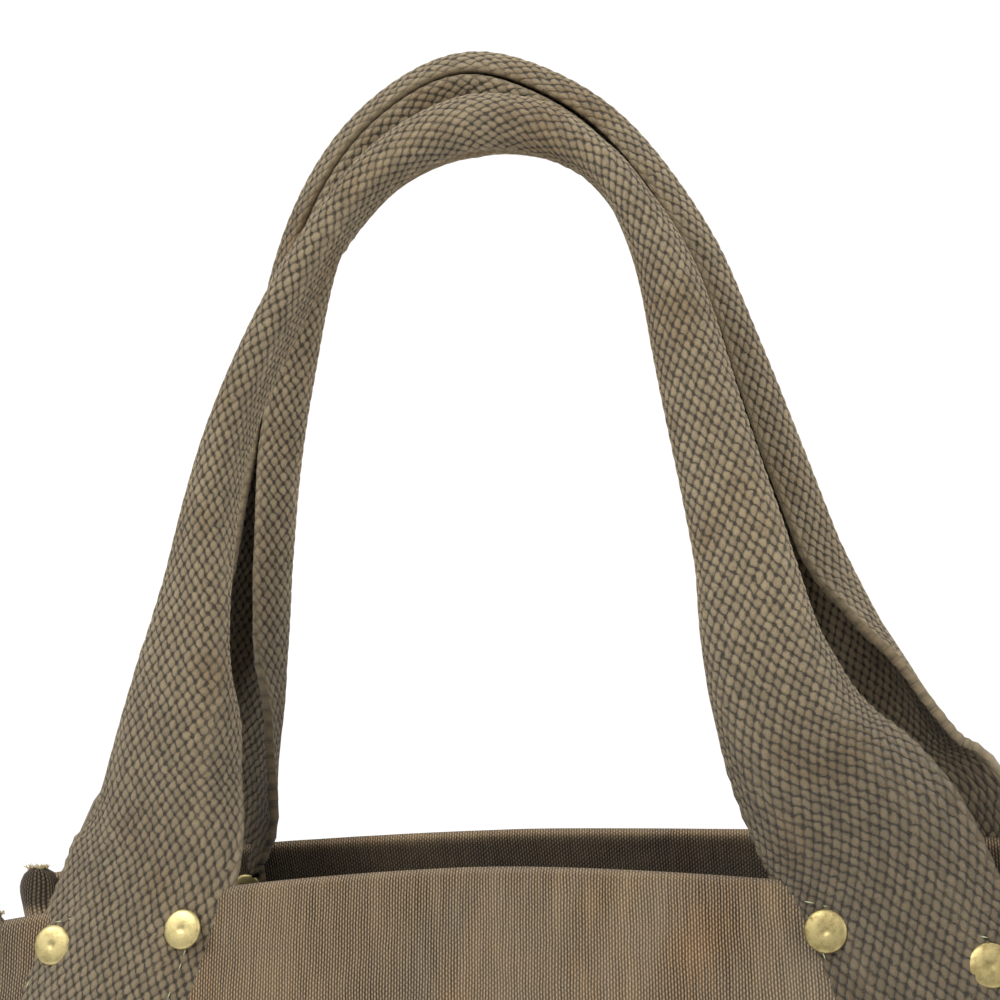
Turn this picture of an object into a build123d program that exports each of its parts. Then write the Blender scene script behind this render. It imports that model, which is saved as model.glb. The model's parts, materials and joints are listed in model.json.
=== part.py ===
"""A canvas garden tool bag with two folded webbing handles, brass rivets and outside tool pockets.

Frame: millimetres, +Z up, -Y is the front, origin under the middle of the base on the floor.
The front and back walls stand straight up to the shoulder and lean in from there to the mouth.
Each handle leans in a little, and swings about a line across its two feet, just above the hem.
"""

import os
from math import atan2, cos, degrees, hypot, radians, sin, sqrt, tan

from build123d import *

# Driving dimensions of the bag
bag_width = 268.0  # between the corner seams
bag_depth = 104.0  # front to back, up to the shoulder
mouth_depth = 50.0  # front to back at the hem
bag_height = 260.0  # floor to the hem in the middle of a wall
hem_drop = 9.0  # how much lower the hem is at the corners
shoulder_height = 152.0  # where the walls start to lean in
canvas = 1.2  # thickness of the duck canvas
binding_flange = 8.0  # how far a bound corner seam stands out
binding_thickness = 3.0
binding_end = 2.0  # raw end of a corner binding above the hem
fold_start = 0.5  # a gusset's fold at the shoulder, enough to keep its crease as an edge
board_thickness = 3.0
board_clearance = 2.0
lining_clearance = 0.5
base_binding_thickness = 1.6
base_binding_height = 8.0
base_binding_lift = 0.6  # clear of the floor

# Driving dimensions of the pockets
pocket_bottom = 10.0
pocket_top = 140.0
pocket_gape = 13.0  # how far a pocket's mouth stands off its wall
pocket_pleat = 10.0  # width of the slanting side of a pocket
pocket_land = 3.0  # half of the flat strip that is sewn down between two pockets
wall_pocket_span = 256.0
wall_pocket_bays = 3
side_pocket_span = 90.0
side_pocket_bays = 1
tape_thickness = 1.0
tape_height = 11.0

# Driving dimensions of the handles
webbing_width = 50.0
webbing_thickness = 2.6
foot_spacing = {"front": 182.0, "back": 206.0}  # between a handle's two feet, at the hinge line
foot_splay = {"front": 19.5, "back": 2.5}  # degrees that the webbing turns outwards, going down a foot
foot_length = 42.0  # below the hinge line
hinge_rise = 2.0  # hinge line above the middle of the hem, at the webbing's outer face
hinge_gap = 3.0  # between a foot's end and the hinge line, room for the loop's end to turn
handle_lean = 4.5  # degrees that a loop leans in
loop_end_splay = {"front": 14.0, "back": 24.0}  # degrees that a leg turns outwards, going down to the hinge
leg_width = 22.0  # folded webbing, halfway up a leg
leg_thickness = 8.0
grip_width = 16.0  # folded webbing, at the top of the loop
grip_thickness = 11.0
curl_length = 75.0  # length over which the flat webbing folds up
square_length = 60.0  # length over which the webbing turns square to its own line, from the hinge line
loop_steps = 28

# Middle of the webbing, seen from outside each wall: across from the middle, up from the hinge line
loop_route = {
    "front": [(-91, 0), (-80, 44), (-70, 98), (-53, 136), (-27, 168), (8, 184),
              (35, 169), (50, 143), (59, 100), (68, 52), (91, 0)],
    "back": [(-103, 0), (-82, 48), (-66, 100), (-50, 147), (-28, 184), (0, 202),
             (30, 191), (54, 155), (70, 106), (84, 48), (103, 0)],
}

# Driving dimensions of the rivets
rivet_radius = 4.8
rivet_dome = 1.6
rivet_edge = 1.2  # rounding of an outer cap
rivet_inner_thickness = 1.0
rivet_post_radius = 1.5
rivet_hole_radius = 1.7
rivet_spacing = 36.0
rivet_row = 18.6  # below the hinge line
askew = {("front", 1): (3.1, 0.11)}  # a foot whose rivets sit lower, and the extra slope of their row

# Sizes that follow from them
half_width = bag_width / 2
half_depth = bag_depth / 2
half_mouth = mouth_depth / 2
lean = atan2(half_depth - half_mouth, bag_height - shoulder_height)
corner_height = bag_height - hem_drop
wall_across = canvas * cos(lean)  # thickness of a leaning wall, square to its face
outward = {"front": -1, "back": 1}  # sign of Y on each wall
sideways = {"left": -1, "right": 1}  # sign of X on each side
lateral = (-1, 1)  # the two feet of a handle, seen from outside its wall


def wall_y(height):
    """Distance of a wall's outer face from the middle of the bag, above the shoulder."""
    return half_mouth + (bag_height - height) * (half_depth - half_mouth) / (bag_height - shoulder_height)


def facing_plane(wall):
    """The leaning outer face of a wall, at the middle of its hem, with +Y up the wall."""
    side = outward[wall]
    return Plane(
        origin=(0, side * half_mouth, bag_height),
        x_dir=(-side, 0, 0),
        z_dir=(0, side * cos(lean), sin(lean)),
    )


def foot_middle(wall, drop):
    """Distance of a foot's middle from the middle of the bag, below the hinge line."""
    return foot_spacing[wall] / 2 + drop * tan(radians(foot_splay[wall]))


def foot_outline(wall, lateral_side):
    """Corners of a foot in its wall's plane: slanting webbing, cut off along the hem's slope."""
    reach = webbing_width / 2 / cos(radians(foot_splay[wall]))
    slope = 2 * hem_drop * foot_middle(wall, foot_length) / half_width**2
    top, bottom = foot_middle(wall, hinge_gap), foot_middle(wall, foot_length)
    corners = [
        (top - reach, hinge_rise - hinge_gap),
        (top + reach, hinge_rise - hinge_gap),
        (bottom + reach, hinge_rise - foot_length - slope * reach),
        (bottom - reach, hinge_rise - foot_length + slope * reach),
    ]
    return [(lateral_side * x, y) for x, y in corners]


def rivet_spots(wall):
    """Centres of the rivets in a wall's plane: two in each foot, in a row near the hem's slope."""
    middle = foot_middle(wall, rivet_row)
    slope = 2 * hem_drop * middle / half_width**2
    spots = []
    for lateral_side in lateral:
        lower, steeper = askew.get((wall, lateral_side), (0, 0))
        for step in (-rivet_spacing / 2, rivet_spacing / 2):
            up = hinge_rise - rivet_row - lower - (slope + steeper) * step
            spots.append((lateral_side * (middle + step), up))
    return spots


def finish(builder, name):
    """Label a finished piece and write it."""
    builder.part.label = name
    export_step(builder.part, f"parts/{name}.step")


os.makedirs("parts", exist_ok=True)

# Walls ------------------------------------------------------------------------------------------
for wall, side in outward.items():
    with BuildPart() as panel:
        with BuildSketch(Plane.YZ):
            Polygon(
                (side * half_depth, canvas),
                (side * half_depth, shoulder_height),
                (side * half_mouth, bag_height),
                (side * (half_mouth - canvas), bag_height),
                (side * (half_depth - canvas), shoulder_height),
                (side * (half_depth - canvas), canvas),
                align=None,
            )
        extrude(amount=half_width, both=True)
        with BuildSketch(Plane.XZ):
            with BuildLine():
                Polyline((-half_width, corner_height), (-half_width, 0), (half_width, 0), (half_width, corner_height))
                ThreePointArc((half_width, corner_height), (0, bag_height), (-half_width, corner_height))
            make_face()
        extrude(amount=half_depth, both=True, mode=Mode.INTERSECT)
        with BuildSketch(facing_plane(wall)):
            with Locations(*rivet_spots(wall)):
                Circle(rivet_hole_radius)
        extrude(amount=-2 * canvas, mode=Mode.SUBTRACT)
    finish(panel, f"{wall}_panel")

# Gussets: flat up to the shoulder, then folded in along the middle as far as the mouth lets them --
gusset_half = half_depth - canvas
gusset_half_top = wall_y(corner_height) - canvas
fold_depth = sqrt(gusset_half**2 - gusset_half_top**2)


def gusset_section(side, half, fold):
    """Corners of a gusset's cross-section: a shallow V that points into the bag."""
    outer = [(half_width, -half), (half_width - fold, 0), (half_width, half)]
    inner = [(x - canvas, y) for x, y in reversed(outer)]
    return [(side * x, y) for x, y in outer + inner]


for name, side in sideways.items():
    with BuildPart() as gusset:
        with BuildSketch(Plane.XY.offset(canvas)):
            Polygon(*gusset_section(side, gusset_half, fold_start), align=None)
        extrude(amount=shoulder_height - canvas)
        with BuildSketch(Plane.XY.offset(shoulder_height)):
            Polygon(*gusset_section(side, gusset_half, fold_start), align=None)
        with BuildSketch(Plane.XY.offset(corner_height)):
            Polygon(*gusset_section(side, gusset_half_top, fold_depth), align=None)
        loft(ruled=True)
    finish(gusset, f"{name}_gusset")

# Base: canvas, a stiff board and a lining over it -------------------------------------------------
with BuildPart() as base_panel:
    Box(bag_width, bag_depth, canvas, align=(Align.CENTER, Align.CENTER, Align.MIN))
finish(base_panel, "base_panel")

with BuildPart() as base_board:
    with BuildSketch(Plane.XY.offset(canvas)):
        Rectangle(bag_width - 2 * (canvas + board_clearance), bag_depth - 2 * (canvas + board_clearance))
    extrude(amount=board_thickness)
    fillet(base_board.edges().filter_by(Axis.Z), 6)
finish(base_board, "base_board")

with BuildPart() as base_lining:
    with BuildSketch(Plane.XY.offset(canvas + board_thickness)):
        Rectangle(
            bag_width - 2 * (canvas + fold_start + lining_clearance),
            bag_depth - 2 * (canvas + lining_clearance),
        )
    extrude(amount=canvas)
finish(base_lining, "base_lining")

with BuildPart() as base_binding:
    with BuildSketch(Plane.XY.offset(base_binding_lift)):
        with Locations((0, -half_depth - base_binding_thickness / 2), (0, half_depth + base_binding_thickness / 2)):
            Rectangle(bag_width, base_binding_thickness)
        with Locations((-half_width - base_binding_thickness / 2, 0), (half_width + base_binding_thickness / 2, 0)):
            Rectangle(base_binding_thickness, 2 * (half_depth - binding_thickness))
    extrude(amount=base_binding_height)
finish(base_binding, "base_binding")

# Corner seams: bound, standing out sideways, with a raw end above the hem -------------------------
binding_top = corner_height + binding_end
for wall, y_side in outward.items():
    for name, x_side in sideways.items():
        with BuildPart() as corner:
            with BuildSketch(Plane.YZ.offset(x_side * half_width)):
                Polygon(
                    (y_side * half_depth, base_binding_lift),
                    (y_side * half_depth, shoulder_height),
                    (y_side * wall_y(binding_top), binding_top),
                    (y_side * (wall_y(binding_top) - binding_thickness), binding_top),
                    (y_side * (half_depth - binding_thickness), shoulder_height),
                    (y_side * (half_depth - binding_thickness), base_binding_lift),
                    align=None,
                )
            extrude(amount=x_side * binding_flange)
        finish(corner, f"{wall}_{name}_corner_binding")

# Pockets ----------------------------------------------------------------------------------------
pocket_walls = {
    "front": ((0, -half_depth), (1, 0, 0), wall_pocket_span, wall_pocket_bays),
    "back": ((0, half_depth), (-1, 0, 0), wall_pocket_span, wall_pocket_bays),
    "left": ((-half_width, 0), (0, -1, 0), side_pocket_span, side_pocket_bays),
    "right": ((half_width, 0), (0, 1, 0), side_pocket_span, side_pocket_bays),
}


def pocket_ends(span, bays):
    """Left and right end of each pocket, between the strips that are sewn down."""
    pitch = span / bays
    return [(-span / 2 + i * pitch + pocket_land, -span / 2 + (i + 1) * pitch - pocket_land) for i in range(bays)]


def pocket_outline(left, right, inset):
    """One pocket seen from above, open to the wall on +Y, inset from its outer face."""
    slant = inset * hypot(pocket_pleat, pocket_gape) / pocket_gape
    return [
        (left + slant, 0),
        (left + pocket_pleat + inset / 2, inset - pocket_gape),
        (right - pocket_pleat - inset / 2, inset - pocket_gape),
        (right - slant, 0),
    ]


for name, (origin, along, span, bays) in pocket_walls.items():
    ends = pocket_ends(span, bays)
    level = Plane(origin=(*origin, 0), x_dir=along, z_dir=(0, 0, 1))

    with BuildPart() as pocket:
        with BuildSketch(level.offset(pocket_bottom)):
            Rectangle(span, canvas, align=(Align.CENTER, Align.MAX))
            for left, right in ends:
                Polygon(*pocket_outline(left, right, 0), align=None)
        extrude(amount=pocket_top - pocket_bottom)
        with BuildSketch(level.offset(pocket_bottom + canvas)):
            for left, right in ends:
                Polygon(*pocket_outline(left, right, canvas), align=None)
        extrude(amount=pocket_top - pocket_bottom, mode=Mode.SUBTRACT)
    finish(pocket, f"{name}_pocket")

    # Tape folded over the pocket's edge: a band outside the cloth and a strip along the top
    with BuildPart() as tape:
        with BuildSketch(level.offset(pocket_top - tape_height)):
            Rectangle(span, canvas + tape_thickness, align=(Align.CENTER, Align.MAX))
            for left, right in ends:
                Polygon(*pocket_outline(left, right, -tape_thickness), align=None)
            Rectangle(span, canvas, align=(Align.CENTER, Align.MAX), mode=Mode.SUBTRACT)
            for left, right in ends:
                Polygon(*pocket_outline(left, right, 0), align=None, mode=Mode.SUBTRACT)
        extrude(amount=tape_height)
        with BuildSketch(level.offset(pocket_top)):
            Rectangle(span, canvas + tape_thickness, align=(Align.CENTER, Align.MAX))
            for left, right in ends:
                Polygon(*pocket_outline(left, right, -tape_thickness), align=None)
            for left, right in ends:
                Polygon(*pocket_outline(left, right, canvas), align=None, mode=Mode.SUBTRACT)
        extrude(amount=tape_thickness)
    finish(tape, f"{name}_pocket_binding")

# Handle feet: flat webbing, riveted to the outside of a wall ---------------------------------------
foot_names = {("front", -1): "left", ("front", 1): "right", ("back", -1): "right", ("back", 1): "left"}
for (wall, lateral_side), name in foot_names.items():
    with BuildPart() as foot:
        with BuildSketch(facing_plane(wall)):
            Polygon(*foot_outline(wall, lateral_side), align=None)
            with Locations(*rivet_spots(wall)):
                Circle(rivet_hole_radius, mode=Mode.SUBTRACT)
        extrude(amount=webbing_thickness)
    finish(foot, f"{wall}_handle_{name}_foot")

# Handle loops: flat at both ends, folding up into a thick grip -------------------------------------
for wall, route in loop_route.items():
    end_width = webbing_width / cos(radians(foot_splay[wall]))
    hinge = facing_plane(wall).from_local_coords((0, hinge_rise, webbing_thickness))
    outer_face = Plane(
        origin=hinge,
        x_dir=(-outward[wall], 0, 0),
        z_dir=(0, outward[wall] * cos(radians(handle_lean)), sin(radians(handle_lean))),
    )
    middle = outer_face.offset(-webbing_thickness / 2)
    with BuildLine(middle) as centre:
        Spline(
            *route,
            tangents=[
                (sin(radians(loop_end_splay[wall])), cos(radians(loop_end_splay[wall]))),
                (sin(radians(loop_end_splay[wall])), -cos(radians(loop_end_splay[wall]))),
            ],
        )
    path = centre.wires()[0]
    with BuildPart() as loop:
        for step in range(loop_steps + 1):
            share = step / loop_steps
            from_end = min(share, 1 - share)
            folded = min(1.0, from_end * path.length / curl_length)
            folded = folded * folded * (3 - 2 * folded)
            risen = max(0.0, 4 * from_end - 1)
            width = webbing_width + (leg_width - webbing_width) * folded + (grip_width - leg_width) * risen
            thickness = webbing_thickness + (leg_thickness - webbing_thickness) * folded
            thickness += (grip_thickness - leg_thickness) * risen
            level = max(0.0, 1 - from_end * path.length / square_length)
            upright = middle.y_dir * (1 if share < 0.5 else -1)
            heading = (path.tangent_at(share) * (1 - level) + upright * level).normalized()
            if from_end == 0:
                width = end_width
            across = middle.z_dir.cross(heading)
            with BuildSketch(Plane(origin=path.position_at(share), x_dir=across, z_dir=heading)):
                Rectangle(width, thickness)
        loft(ruled=True)
    finish(loop, f"{wall}_handle_loop")
    print(wall, "loop centre line", round(path.length, 1), "mm, hinge line at", hinge)

# Rivets: a cap outside the webbing, and a post with a flat cap inside the wall ----------------------
for wall in outward:
    face = facing_plane(wall)
    with BuildPart() as caps:
        with BuildSketch(face.offset(webbing_thickness)):
            with Locations(*rivet_spots(wall)):
                Circle(rivet_radius)
        extrude(amount=rivet_dome)
        fillet(caps.edges().group_by(Axis((0, 0, 0), face.z_dir))[-1], rivet_edge)
    finish(caps, f"{wall}_rivet_caps")

    with BuildPart() as posts:
        with BuildSketch(face.offset(-wall_across - rivet_inner_thickness)):
            with Locations(*rivet_spots(wall)):
                Circle(rivet_radius)
        extrude(amount=rivet_inner_thickness)
        with BuildSketch(face.offset(-wall_across)):
            with Locations(*rivet_spots(wall)):
                Circle(rivet_post_radius)
        extrude(amount=wall_across + webbing_thickness)
    finish(posts, f"{wall}_rivet_posts")

print("wall lean", round(degrees(lean), 3), "degrees, gusset fold", round(fold_depth, 2), "mm")
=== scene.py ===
"""A washed canvas garden tool bag: soft walls, folded webbing handles, brass rivets and sewn pockets."""

import json
import random
from math import atan, cos, hypot, pi, radians, sin

import bmesh
import bpy
from mathutils import Matrix, Vector, noise


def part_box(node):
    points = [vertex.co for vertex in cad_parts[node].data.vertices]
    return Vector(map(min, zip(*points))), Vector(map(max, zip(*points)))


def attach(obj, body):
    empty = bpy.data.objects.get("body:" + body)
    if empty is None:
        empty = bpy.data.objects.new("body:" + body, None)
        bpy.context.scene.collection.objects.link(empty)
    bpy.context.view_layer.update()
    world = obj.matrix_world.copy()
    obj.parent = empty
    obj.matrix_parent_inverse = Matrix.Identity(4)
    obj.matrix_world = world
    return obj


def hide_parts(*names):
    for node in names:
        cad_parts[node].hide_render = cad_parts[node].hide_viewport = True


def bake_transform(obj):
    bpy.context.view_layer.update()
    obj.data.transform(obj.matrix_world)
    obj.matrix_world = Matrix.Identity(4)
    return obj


bl_info = {
    "name": "Garden Tool Bag",
    "version": (1, 0, 0),
    "blender": (4, 5, 0),
    "location": "View3D > Sidebar > Tool Bag",
    "description": "Builds the soft pieces and finishes of a canvas tool bag around its fixed frame",
    "category": "Add Mesh",
}

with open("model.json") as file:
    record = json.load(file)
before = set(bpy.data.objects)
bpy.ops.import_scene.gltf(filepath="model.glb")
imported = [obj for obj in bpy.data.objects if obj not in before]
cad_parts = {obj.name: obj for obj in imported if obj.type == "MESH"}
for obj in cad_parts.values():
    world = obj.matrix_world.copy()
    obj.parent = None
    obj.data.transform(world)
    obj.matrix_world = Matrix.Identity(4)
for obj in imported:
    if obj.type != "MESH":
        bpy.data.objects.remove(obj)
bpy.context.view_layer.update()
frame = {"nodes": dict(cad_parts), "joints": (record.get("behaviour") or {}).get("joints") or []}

# Sizes that the frame gives, in metres -----------------------------------------------------------
MM = 0.001
panel_low, panel_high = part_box("front_panel")
HALF_WIDTH = panel_high[0]
HALF_DEPTH = -panel_low[1]
HEM = panel_high[2]
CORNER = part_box("left_gusset")[1][2]
GUSSET_FOLD = HALF_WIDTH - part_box("right_gusset")[0][0]
CANVAS = 1.2 * MM
HALF_MOUTH = CANVAS - panel_high[1]
SHOULDER = 152 * MM
WALL_SLOPE = (HALF_DEPTH - HALF_MOUTH) / (HEM - SHOULDER)
POCKET_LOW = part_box("front_pocket")[0][2]
POCKET_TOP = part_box("front_pocket")[1][2]
POCKET_GAPE = -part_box("front_pocket")[0][1] - HALF_DEPTH
HINGE_Y, HINGE_Z = next(j["pos_m"] for j in frame["joints"] if j["name"] == "front_handle_fold")[1:]
HINGE_Y = -HINGE_Y
WALLS = {"front": -1, "back": 1}
SIDES = {"left": -1, "right": 1}
LEAN = atan(WALL_SLOPE)
HANDLE_LEAN = radians(4.5)
FOOT_MIDDLE = {"front": 91 * MM, "back": 103 * MM}  # from the bag's middle to a foot, at the hinge line
FOOT_SPLAY = {"front": 0.354, "back": 0.044}  # how far a foot turns outwards for each metre down
FOOT_DROP = 42 * MM  # how far a foot reaches below the hinge line
RIVET_DROP = 18.6 * MM
ASKEW = {("front", 1): (3.1 * MM, 0.11)}  # a foot whose rivets sit lower, and their row's extra slope
HEM_RISE = {"front": 0 * MM, "back": 1.8 * MM}
HEM_DROOP = {"front": 11.5 * MM, "back": 6.5 * MM}  # how far each hem falls towards its corners
RIVET_STEP = 18 * MM
RIVET_RADIUS = 4.8 * MM


# Sizes and colours that a user would change ------------------------------------------------------
def length(name, description, millimetres):
    """A length property in metres, given in millimetres."""
    return bpy.props.FloatProperty(
        name=name, description=description, default=millimetres * MM, min=0, precision=5, unit="LENGTH"
    )


def colour(name, description, *rgb):
    """A colour property."""
    return bpy.props.FloatVectorProperty(
        name=name, description=description, default=rgb, min=0, max=1, size=3, subtype="COLOR"
    )


class BagClothSizes(bpy.types.PropertyGroup):
    """Sizes of the cloth, webbing and metal."""

    webbing_width: length("Webbing width", "Width of the handle webbing, laid flat", 50)
    webbing_thickness: length("Webbing thickness", "Thickness of the handle webbing", 2.4)
    lump_across: length("Webbing lump", "Pitch of the weave across the webbing", 2.5)
    lump_along: length("Webbing row", "Pitch of the weave along the webbing", 1.95)
    lump_height: length("Lump height", "How far the weave stands out", 0.19)
    rib_pitch: length("Canvas rib", "Pitch of the canvas ribs", 0.722)
    hem_turn: length("Hem turn", "How far the hem is turned in", 22)
    hem_round: length("Hem round", "Radius of the turned hem", 1.3)
    crease_depth: length("Crease depth", "Depth of the soft creases in the walls", 1.3)
    stitch_length: length("Stitch length", "Length of a stitch", 2.2)
    stitch_gap: length("Stitch gap", "Gap between two stitches", 1.6)
    thread_radius: length("Thread radius", "Radius of the sewing thread", 0.17)


class BagColours(bpy.types.PropertyGroup):
    """Colours of the cloth, webbing and metal."""

    canvas: colour("Canvas", "Main colour of the washed canvas", 0.186, 0.131, 0.075)
    canvas_grey: colour("Canvas, faded", "Faded grey of the washed canvas", 0.15, 0.118, 0.08)
    canvas_rust: colour("Canvas, rust", "Orange-brown blotches in the canvas", 0.215, 0.125, 0.058)
    webbing: colour("Webbing", "Main colour of the webbing", 0.235, 0.182, 0.112)
    webbing_brown: colour("Webbing, brown", "Browner stretches of the webbing", 0.19, 0.134, 0.072)
    # painted shadow: the near-black colour put into the weave's gaps and pits, where shade falls between the lumps
    webbing_gap_shadow: colour("Webbing gaps", "Dark gaps in the weave", 0.022, 0.017, 0.01)
    thread: colour("Thread", "Sewing thread", 0.42, 0.44, 0.26)
    raw_cotton: colour("Raw cotton", "Frayed ends", 0.42, 0.33, 0.17)
    brass: colour("Brass", "Aged brass", 0.6, 0.5, 0.235)
    brass_dark: colour("Brass, dark", "Tarnish on the brass", 0.22, 0.165, 0.065)
    floor: colour("Floor", "Floor under the bag", 0.9, 0.9, 0.9)


def sizes():
    """The size properties of this scene."""
    return bpy.context.scene.bag_sizes


def colours():
    """The colour properties of this scene."""
    return bpy.context.scene.bag_colours


# Shader maths ------------------------------------------------------------------------------------
class Field:
    """A shader value that Python's operators work on; each operator adds a Math node."""

    def __init__(self, finish, socket):
        self.finish = finish
        self.socket = socket

    def math(self, operation, *values):
        return self.finish.add("ShaderNodeMath", {"operation": operation}, values)

    def __add__(self, other):
        return self.math("ADD", self, other)

    def __radd__(self, other):
        return self.math("ADD", other, self)

    def __sub__(self, other):
        return self.math("SUBTRACT", self, other)

    def __rsub__(self, other):
        return self.math("SUBTRACT", other, self)

    def __mul__(self, other):
        return self.math("MULTIPLY", self, other)

    def __rmul__(self, other):
        return self.math("MULTIPLY", other, self)

    def __truediv__(self, other):
        return self.math("DIVIDE", self, other)

    def __rtruediv__(self, other):
        return self.math("DIVIDE", other, self)

    def __pow__(self, other):
        return self.math("POWER", self, other)

    def __abs__(self):
        return self.math("ABSOLUTE", self)

    def __mod__(self, other):
        return self.math("FLOORED_MODULO", self, other)

    def floor(self):
        return self.math("FLOOR", self)

    def sine(self):
        return self.math("SINE", self)

    def least(self, other):
        return self.math("MINIMUM", self, other)

    def most(self, other):
        return self.math("MAXIMUM", self, other)

    def ramp(self, start, end):
        """0 up to start, 1 from end, and smooth between them."""
        return self.finish.add(
            "ShaderNodeMapRange", {"interpolation_type": "SMOOTHSTEP"}, {0: self, 1: start, 2: end, 3: 0.0, 4: 1.0}
        )


class Finish:
    """One material and its nodes."""

    def __init__(self, name, **constants):
        self.material = bpy.data.materials.new(name)
        self.material.use_nodes = True
        self.tree = self.material.node_tree
        self.shader = self.tree.nodes["Principled BSDF"]
        for socket, value in constants.items():
            self.shader.inputs[socket.replace("_", " ")].default_value = value

    def add(self, kind, settings=None, values=(), output=0):
        """Adds a node: its settings first, then its sockets' values or links; returns one output."""
        node = self.tree.nodes.new(kind)
        for name, value in (settings or {}).items():
            if name == "stops":
                for _ in range(len(value) - 2):
                    node.color_ramp.elements.new(0.5)
                for element, (place, shade) in zip(node.color_ramp.elements, value):
                    element.position = place
                    element.color = (*shade, 1)
            else:
                setattr(node, name, value)
        pairs = values.items() if isinstance(values, dict) else enumerate(values)
        for key, value in pairs:
            self.put(node.inputs[key], value)
        return Field(self, node.outputs[output])

    def put(self, socket, value):
        """Links a field to a socket, or sets the socket's own value."""
        if isinstance(value, Field):
            self.tree.links.new(value.socket, socket)
        elif socket.type == "RGBA":
            socket.default_value = (*value[:3], 1)
        else:
            socket.default_value = value

    def feed(self, **fields):
        """Feeds the Principled shader's varying inputs."""
        for socket, value in fields.items():
            self.put(self.shader.inputs[socket.replace("_", " ")], value)

    def mix(self, factor, first, second, blend="MIX"):
        """A colour between two colours."""
        return self.add(
            "ShaderNodeMix", {"data_type": "RGBA", "blend_type": blend, "clamp_factor": True},
            {0: factor, 6: first, 7: second}, output=2,
        )

    def cloth_place(self):
        """Metres across and along the cloth, from the piece's own map."""
        place = self.add("ShaderNodeUVMap", {"uv_map": "Cloth"})
        across = self.add("ShaderNodeSeparateXYZ", None, [place])
        along = Field(self, across.socket.node.outputs[1])
        return place, across, along

    def stretched(self, vector, across, along):
        """A vector scaled by different amounts across and along."""
        return self.add("ShaderNodeMapping", None, {0: vector, 3: (across, along, 1.0)})

    def noise(self, vector, scale, detail=2.0, roughness=0.5):
        """Soft noise from 0 to 1."""
        return self.add(
            "ShaderNodeTexNoise", {"noise_dimensions": "3D"},
            {"Vector": vector, "Scale": scale, "Detail": detail, "Roughness": roughness},
        )

    def bump(self, height, distance, strength=1.0, normal=None):
        """A normal bumped by a height."""
        values = {"Height": height, "Distance": distance, "Strength": strength}
        if normal is not None:
            values["Normal"] = normal
        return self.add("ShaderNodeBump", None, values)


def webbing_columns():
    """Columns of the webbing's mesh: two for each lump across it."""
    return 2 * round(sizes().webbing_width / sizes().lump_across) - 1


def weave(finish, across, along, pitch_across, pitch_along):
    """Staggered oval lumps: how high each stands, the pits and lines between them, and its number."""
    rising = across / pitch_across + along / (2 * pitch_along) + 0.5
    falling = across / pitch_across - along / (2 * pitch_along) + 0.5
    first = abs((rising * pi + pi / 2).sine())
    second = abs((falling * pi + pi / 2).sine())
    number = finish.add("ShaderNodeCombineXYZ", None, [(rising + 0.5).floor(), (falling + 0.5).floor(), 0.0])
    each = finish.add("ShaderNodeTexWhiteNoise", {"noise_dimensions": "2D"}, {"Vector": number})
    pit = 1 - (first * first + second * second).ramp(0.15, 0.95)
    line = (1 - first.ramp(0.0, 0.5)).most((1 - second.ramp(0.0, 0.4)) * 0.55)
    return (first * second) ** 0.8, pit, line, each


def webbing_finish():
    """Heavy basket-weave cotton: round lumps with a painted highlight on each crown, painted shadow in the gaps
    between them, browner stretches, fibres along the yarn, and painted shade towards the feet.
    """
    finish = Finish("webbing", Roughness=0.95, Sheen_Weight=0.15, Sheen_Roughness=0.6)
    finish.shader.inputs["Specular IOR Level"].default_value = 0.15
    shades = colours()
    place, across, along = finish.cloth_place()
    wander = finish.noise(place, 300.0, 1.0)
    sway = finish.noise(place, 480.0, 1.0)
    rim = abs(across).ramp(0.5 * sizes().webbing_width - 0.0005, 0.5 * sizes().webbing_width - 0.0001)
    lump, pit, line, each = weave(
        finish, across + 0.5 * sizes().webbing_width + (wander - 0.5) * 0.0012 + (sway - 0.5) * 0.0007,
        along + (sway - 0.5) * 0.0011 + (wander - 0.5) * 0.0008, 2 * sizes().webbing_width / webbing_columns(), sizes().lump_along,
    )
    turned = finish.add("ShaderNodeMapping", None, {0: place, 2: (0, 0, 0.6), 3: (5600.0, 1500.0, 1.0)})
    fibre = finish.noise(turned, 1.0, 2.0, 0.65)
    fuzz = finish.noise(place, 3600.0, 1.0)
    brown = finish.noise(place, 26.0, 3.0, 0.6).ramp(0.48, 0.7)
    fade = finish.noise(place, 60.0, 2.0)
    half = 0.5 * sizes().webbing_width
    edge = abs(across).ramp(half - 0.0024, half - 0.0004)
    patchy = finish.noise(place, 520.0, 2.0, 0.6).ramp(0.3, 0.62)
    # painted shadow in the pits and lines between the lumps, weaker on the worn edges
    gap = pit.most(line * (0.15 + 0.75 * patchy)) * (1 - 0.7 * edge)
    # painted shade: the webbing is a little darker at its first foot than up the loop, and much darker over the
    # last stretch of its run, at the second foot
    shade_towards_feet = 0.86 + 0.28 * along.ramp(0.05, 0.16) - 0.58 * along.ramp(0.42, 0.5)
    fold = 1 - abs(abs(across) - 0.5 * half).ramp(0.0002, 0.0028)
    worn = edge.most(fold * fade.ramp(0.35, 0.6) * 0.7)
    cloth = finish.mix(brown, shades.webbing, shades.webbing_brown)
    # lump * 0.24 paints a highlight on each lump's crown
    yarn = each * 0.36 + fibre * 1.15 + fuzz * 0.5 + fade * 0.24 + worn * 0.22 + lump * 0.24
    light = (yarn * (1 - rim * 0.8) + rim * 0.9) * shade_towards_feet
    lit = finish.mix(1.0, cloth, finish.add("ShaderNodeCombineXYZ", None, [light, light, light * 0.97]), "MULTIPLY")
    finish.feed(Base_Color=finish.mix(gap * (0.7 + 0.3 * fuzz.ramp(0.35, 0.65)) * (1 - worn * 0.5), lit,
                                      shades.webbing_gap_shadow))
    height = lump * 0.8 + fibre * 0.5 + fuzz * 0.15 - gap * 0.4
    finish.feed(Normal=finish.bump(height, 0.0011, 1.0))
    return finish.material


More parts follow.
